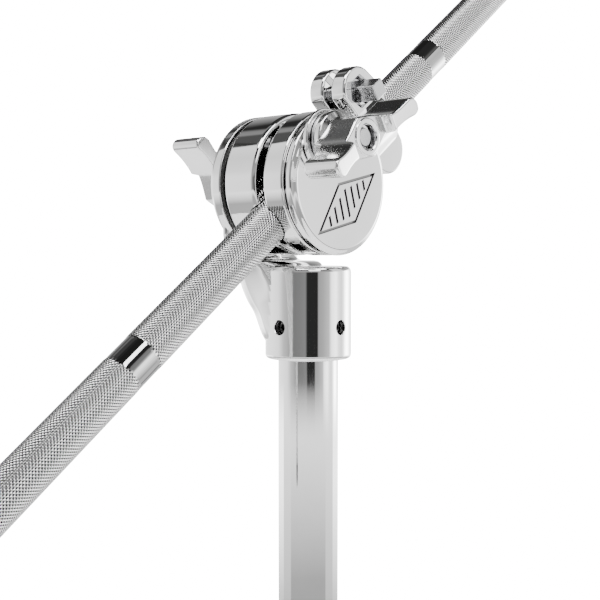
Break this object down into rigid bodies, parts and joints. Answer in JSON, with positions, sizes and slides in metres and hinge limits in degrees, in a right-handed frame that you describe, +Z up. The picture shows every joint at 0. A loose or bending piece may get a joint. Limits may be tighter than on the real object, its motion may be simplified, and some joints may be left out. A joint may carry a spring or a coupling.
{
  "type": "cymbal boom stand",
  "caption": "Floor stand with a double-braced folding tripod, telescoping tubes and a friction tilter that clamps a knurled boom rod carrying a small cymbal tilter.",
  "frame": {"origin": "on the floor under the tubes' common axis, at the centre of the flat foot plug", "axes": "+Z up along the tubes, +X the way the boom rod points, +Y from the tilter's front cover to its hinge plate"},
  "size_m": [0.5344, 0.6166, 1.1736],
  "materials": {
    "chrome": "polished chrome plate",
    "knurled_chrome": "chrome plate over diamond knurling",
    "steel": "plated steel hardware",
    "rubber": "moulded matt rubber",
    "nylon": "moulded black nylon",
    "felt": "pressed wool felt"
  },
  "bodies": {
    "base": {"base_tube": "chrome", "brace_hub": "chrome", "brace_hub_screw": "steel", "tube_plug": "rubber", "base_clamp": "chrome", "base_bush": "nylon"},
    "leg_collar": {"leg_collar": "chrome"},
    "leg_collar_wing_bolt": {"leg_collar_wing_bolt": "chrome"},
    "base_wing_bolt": {"base_wing_bolt": "chrome"},
    "middle_lock": {"middle_memory_lock": "chrome"},
    "middle_lock_screw": {"middle_lock_screw": "steel"},
    "middle_section": {"middle_tube": "chrome", "middle_clamp": "chrome", "middle_bush": "nylon"},
    "middle_wing_bolt": {"middle_wing_bolt": "chrome"},
    "top_lock": {"top_memory_lock": "chrome"},
    "top_lock_screw": {"top_lock_screw": "steel"},
    "top_section": {"top_tube": "chrome", "tilter_base": "chrome", "socket_screw_front": "steel", "socket_screw_side": "steel", "tilt_washer": "chrome", "tilt_spring_washer": "steel"},
    "boom_clamp": {"rear_clamp_disc": "chrome", "front_clamp_disc": "chrome", "front_cover": "chrome", "guide_pin": "steel", "brake_washer": "nylon", "tilt_bolt": "steel", "clamp_bolt": "steel", "clamp_washer": "chrome", "clamp_spring_washer": "steel"},
    "tilt_wing_nut": {"tilt_wing_nut": "chrome"},
    "clamp_wing_nut": {"clamp_wing_nut": "chrome"},
    "boom_lock": {"boom_lock_front": "chrome", "boom_lock_rear": "chrome", "boom_lock_pin": "steel"},
    "boom_lock_screw": {"boom_lock_screw": "steel"},
    "boom": {"boom_rod": "knurled_chrome", "boom_end_cap": "rubber", "cymbal_tilter_body": "chrome"},
    "cymbal_head": {"cymbal_tilter_head": "chrome", "cymbal_rod": "steel", "cup_washer": "chrome", "cymbal_sleeve": "nylon", "lower_felt": "felt", "upper_felt": "felt"},
    "cymbal_tilter_screw": {"cymbal_tilter_screw": "chrome"},
    "cymbal_wing_nut": {"cymbal_wing_nut": "chrome"},
    "leg_1": {"leg_1": "chrome", "foot_1": "rubber"},
    "brace_1": {"brace_1": "chrome"},
    "leg_2": {"leg_2": "chrome", "foot_2": "rubber"},
    "brace_2": {"brace_2": "chrome"},
    "leg_3": {"leg_3": "chrome", "foot_3": "rubber"},
    "brace_3": {"brace_3": "chrome"}
  },
  "joints": [
    {"name": "leg_collar_slide", "type": "slide", "parent": "base", "child": "leg_collar", "axis": [0, 0, 1], "range_m": [0, 0.1172]},
    {"name": "leg_collar_wing_bolt_turn", "type": "hinge", "parent": "leg_collar", "child": "leg_collar_wing_bolt", "pos_m": [-0.0318, 0, 0.318], "axis": [-1, 0, 0], "continuous": true},
    {"name": "leg_1_fold", "type": "hinge", "parent": "leg_collar", "child": "leg_1", "pos_m": [0.036, 0, 0.318], "axis": [0, 1, 0], "range_deg": [0, 45]},
    {"name": "brace_1_fold", "type": "hinge", "parent": "base", "child": "brace_1", "pos_m": [0.023, 0, 0.05], "axis": [0, -1, 0], "range_deg": [0, 45]},
    {"name": "leg_2_fold", "type": "hinge", "parent": "leg_collar", "child": "leg_2", "pos_m": [-0.018, 0.03118, 0.318], "axis": [-0.866, -0.5, 0], "range_deg": [0, 45]},
    {"name": "brace_2_fold", "type": "hinge", "parent": "base", "child": "brace_2", "pos_m": [-0.0115, 0.01992, 0.05], "axis": [0.866, 0.5, 0], "range_deg": [0, 45]},
    {"name": "leg_3_fold", "type": "hinge", "parent": "leg_collar", "child": "leg_3", "pos_m": [-0.018, -0.03118, 0.318], "axis": [0.866, -0.5, 0], "range_deg": [0, 45]},
    {"name": "brace_3_fold", "type": "hinge", "parent": "base", "child": "brace_3", "pos_m": [-0.0115, -0.01992, 0.05], "axis": [-0.866, 0.5, 0], "range_deg": [0, 45]},
    {"name": "base_wing_bolt_turn", "type": "hinge", "parent": "base", "child": "base_wing_bolt", "pos_m": [0, -0.0323, 0.5275], "axis": [0, -1, 0], "continuous": true},
    {"name": "middle_lock_slide", "type": "slide", "parent": "base", "child": "middle_lock", "axis": [0, 0, 1], "range_m": [0, 0.15]},
    {"name": "middle_lock_screw_turn", "type": "hinge", "parent": "middle_lock", "child": "middle_lock_screw", "pos_m": [0.0196, -0.0063, 0.5443], "axis": [0, -1, 0], "continuous": true},
    {"name": "middle_section_turn", "type": "hinge", "parent": "middle_lock", "child": "middle_section", "pos_m": [0, 0, 0.538], "axis": [0, 0, 1], "continuous": true},
    {"name": "middle_wing_bolt_turn", "type": "hinge", "parent": "middle_section", "child": "middle_wing_bolt", "pos_m": [0, -0.0291, 0.7275], "axis": [0, -1, 0], "continuous": true},
    {"name": "top_lock_slide", "type": "slide", "parent": "middle_section", "child": "top_lock", "axis": [0, 0, 1], "range_m": [0, 0.12]},
    {"name": "top_lock_screw_turn", "type": "hinge", "parent": "top_lock", "child": "top_lock_screw", "pos_m": [0.01802, -0.0063, 0.7443], "axis": [0, -1, 0], "continuous": true},
    {"name": "top_section_turn", "type": "hinge", "parent": "top_lock", "child": "top_section", "pos_m": [0, 0, 0.738], "axis": [0, 0, 1], "continuous": true},
    {"name": "boom_tilt", "type": "hinge", "parent": "top_section", "child": "boom_clamp", "pos_m": [0, 0, 0.91], "axis": [0, -1, 0], "range_deg": [-68, 11]},
    {"name": "tilt_wing_nut_turn", "type": "hinge", "parent": "top_section", "child": "tilt_wing_nut", "pos_m": [0, 0.0285, 0.91], "axis": [0, 1, 0], "continuous": true},
    {"name": "clamp_wing_nut_turn", "type": "hinge", "parent": "boom_clamp", "child": "clamp_wing_nut", "pos_m": [-0.00882, -0.0175, 0.92214], "axis": [0, -1, 0], "continuous": true},
    {"name": "boom_slide", "type": "slide", "parent": "boom_clamp", "child": "boom_lock", "axis": [0.809, 0, 0.5878], "range_m": [0, 0.15]},
    {"name": "boom_lock_screw_turn", "type": "hinge", "parent": "boom_lock", "child": "boom_lock_screw", "pos_m": [0.01806, -0.0043, 0.94043], "axis": [0, -1, 0], "continuous": true},
    {"name": "boom_roll", "type": "hinge", "parent": "boom_lock", "child": "boom", "pos_m": [0, 0.00095, 0.91], "axis": [0.809, 0, 0.5878], "continuous": true},
    {"name": "cymbal_tilt", "type": "hinge", "parent": "boom", "child": "cymbal_head", "pos_m": [0.23623, 0, 1.08163], "axis": [0, -1, 0], "range_deg": [-35, 55]},
    {"name": "cymbal_tilter_screw_turn", "type": "hinge", "parent": "cymbal_head", "child": "cymbal_tilter_screw", "pos_m": [0.23623, -0.0099, 1.08163], "axis": [0, -1, 0], "continuous": true},
    {"name": "cymbal_wing_nut_turn", "type": "hinge", "parent": "cymbal_head", "child": "cymbal_wing_nut", "pos_m": [0.23623, 0.007, 1.13143], "axis": [0, 0, 1], "continuous": true}
  ],
  "couplings": [
    {"joint": "leg_1_fold", "follows": "leg_collar_slide", "rad_per_m": 6.552},
    {"joint": "brace_1_fold", "follows": "leg_collar_slide", "rad_per_m": 6.557},
    {"joint": "leg_2_fold", "follows": "leg_collar_slide", "rad_per_m": 6.552},
    {"joint": "brace_2_fold", "follows": "leg_collar_slide", "rad_per_m": 6.557},
    {"joint": "leg_3_fold", "follows": "leg_collar_slide", "rad_per_m": 6.552},
    {"joint": "brace_3_fold", "follows": "leg_collar_slide", "rad_per_m": 6.557}
  ]
}
